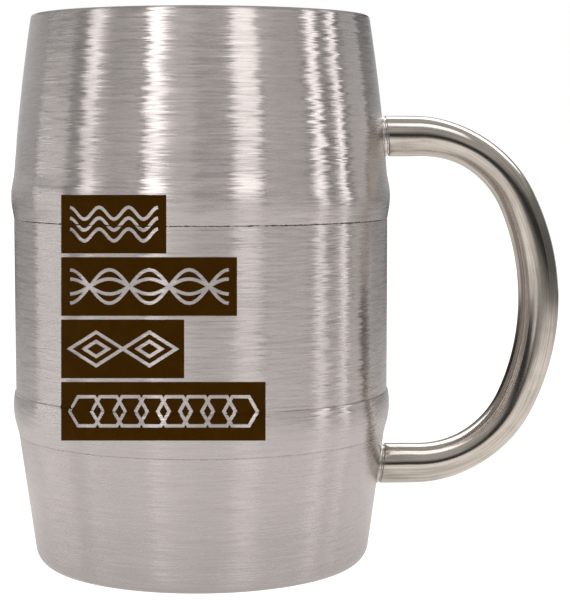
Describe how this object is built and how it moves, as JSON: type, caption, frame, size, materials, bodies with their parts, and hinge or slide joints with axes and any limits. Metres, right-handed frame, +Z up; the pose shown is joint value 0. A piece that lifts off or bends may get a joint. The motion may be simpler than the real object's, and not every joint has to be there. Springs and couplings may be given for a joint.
{
  "type": "barrel mug",
  "caption": "Barrel-shaped double-wall steel drinking mug with hooped sides, a bent round-tube handle and dark printed bars on its front.",
  "frame": {"origin": "centre of the base plate's pressed underside, on the barrel's axis; the foot's land is 1 mm below it", "axes": "+Z up along the barrel's axis towards the mouth, +X towards the handle, -Y towards the printed front"},
  "size_m": [0.1209, 0.0832, 0.1201],
  "materials": {
    "barrel_steel": "brushed around the barrel",
    "liner_steel": "fine satin",
    "handle_steel": "polished, slightly soft",
    "weld_steel": "bright",
    "print": "matt dark brown ink film"
  },
  "bodies": {
    "root": {"outer_shell": "barrel_steel", "inner_liner": "liner_steel", "lip_ring": "barrel_steel", "base_plate": "liner_steel", "base_weld": "weld_steel", "handle_tube": "handle_steel", "handle_upper_end_plate": "weld_steel", "handle_upper_weld": "weld_steel", "handle_lower_end_plate": "weld_steel", "handle_lower_weld": "weld_steel", "printed_bar_1": "print", "printed_bar_2": "print", "printed_bar_3": "print", "printed_bar_4": "print"}
  },
  "joints": []
}
